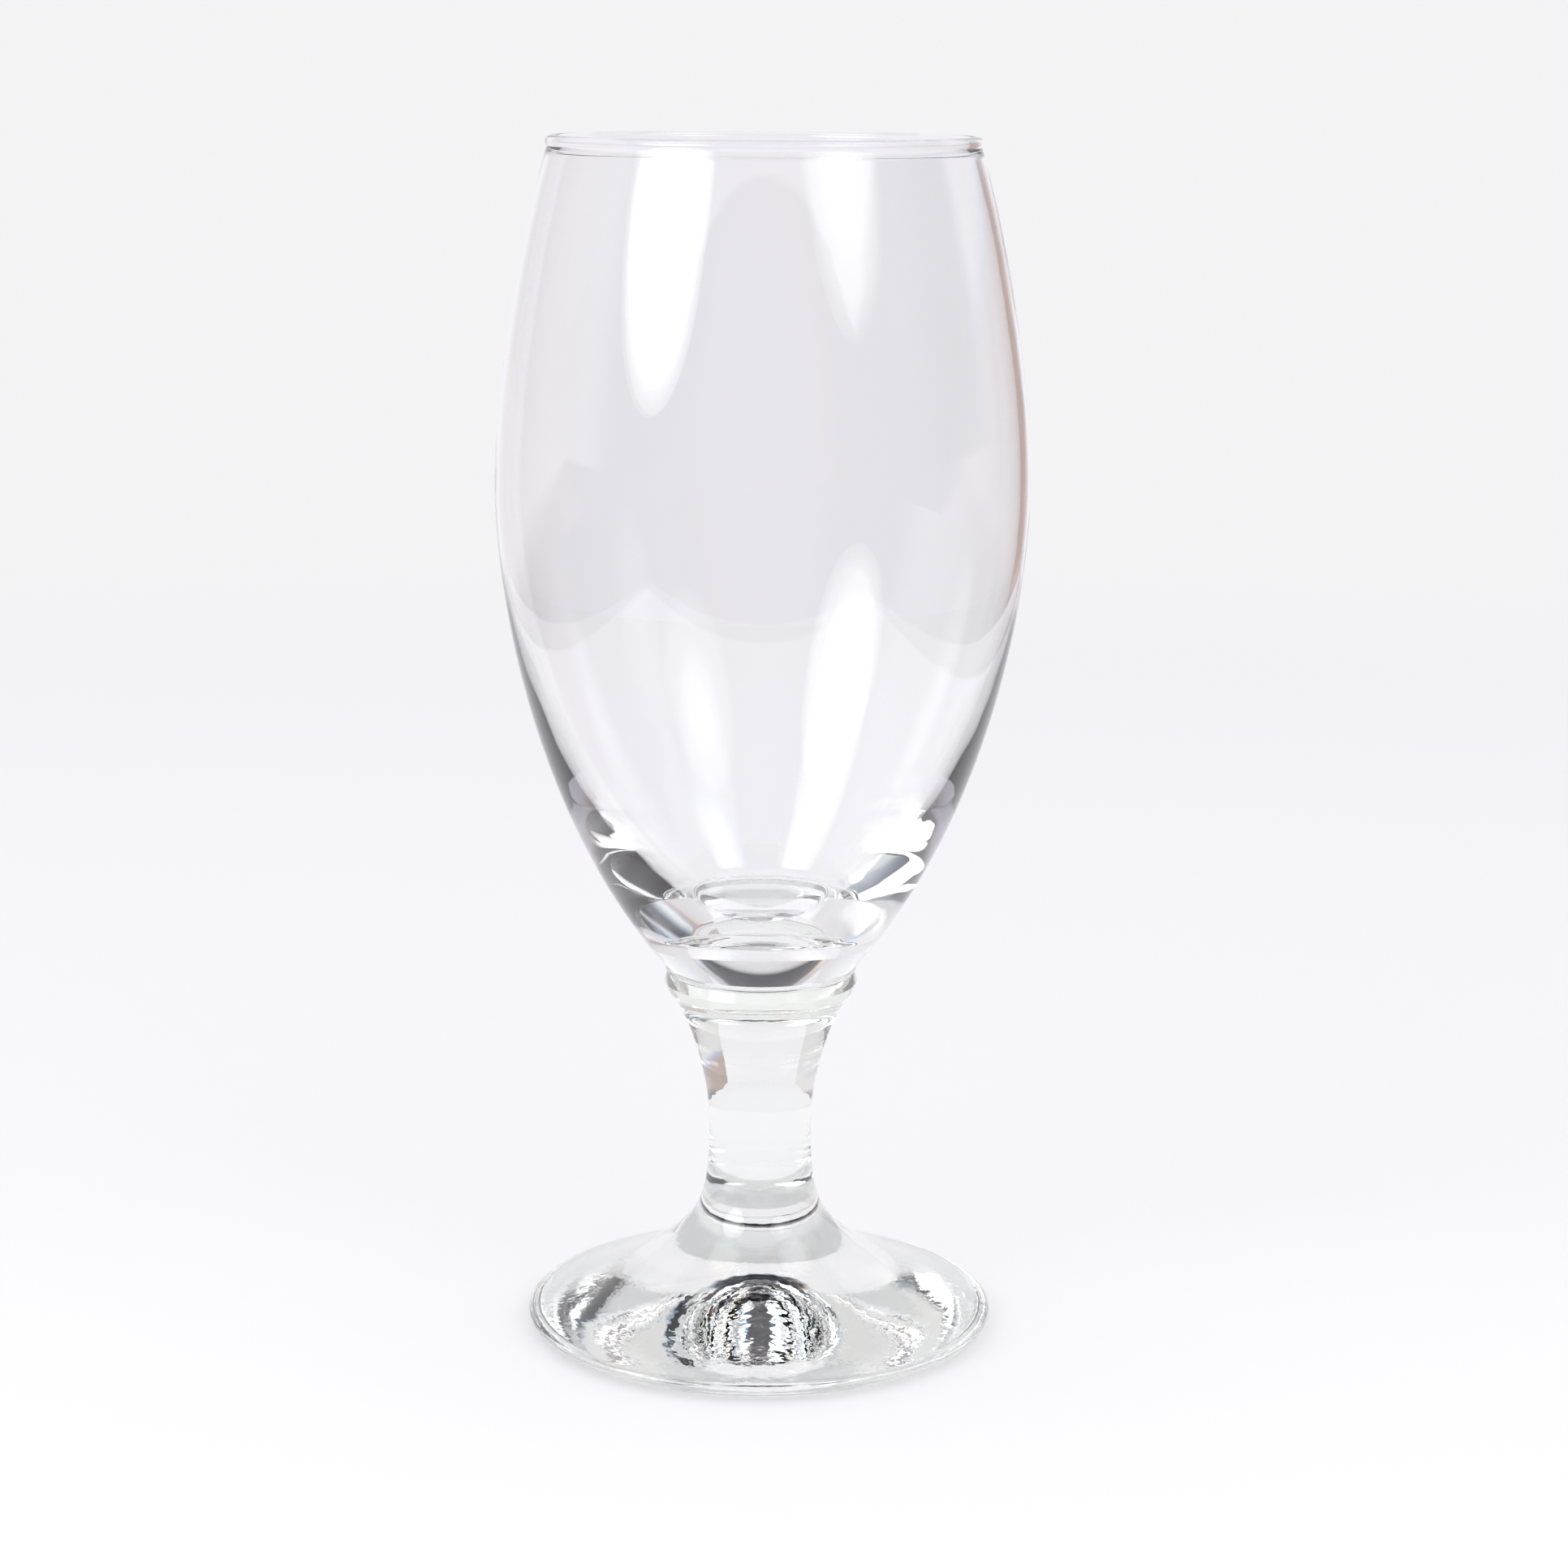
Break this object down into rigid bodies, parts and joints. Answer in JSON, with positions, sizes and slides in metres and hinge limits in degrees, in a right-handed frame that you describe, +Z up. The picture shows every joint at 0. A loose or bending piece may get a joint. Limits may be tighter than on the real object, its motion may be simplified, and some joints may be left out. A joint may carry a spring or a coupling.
{
  "type": "stemmed beer glass",
  "caption": "Stemmed beer glass: a tall teardrop bowl with a rounded rim, on a collar, a waisted stem and a wide domed foot that stands on a flat ring.",
  "frame": {"origin": "centre of the resting face under the foot, on the table", "axes": "+Z up along the axis of the glass, through the middle of the bowl's mouth; X and Y are alike"},
  "size_m": [0.0798, 0.0798, 0.182],
  "materials": {
    "bowl_glass": "clear soda-lime glass, fire polished, with a faint waviness",
    "pressed_glass": "clear pressed soda-lime glass, a little greener where it is thick, with fine chill ripples"
  },
  "bodies": {
    "root": {"foot": "pressed_glass", "stem": "pressed_glass", "collar": "pressed_glass", "bowl": "bowl_glass"}
  },
  "joints": []
}
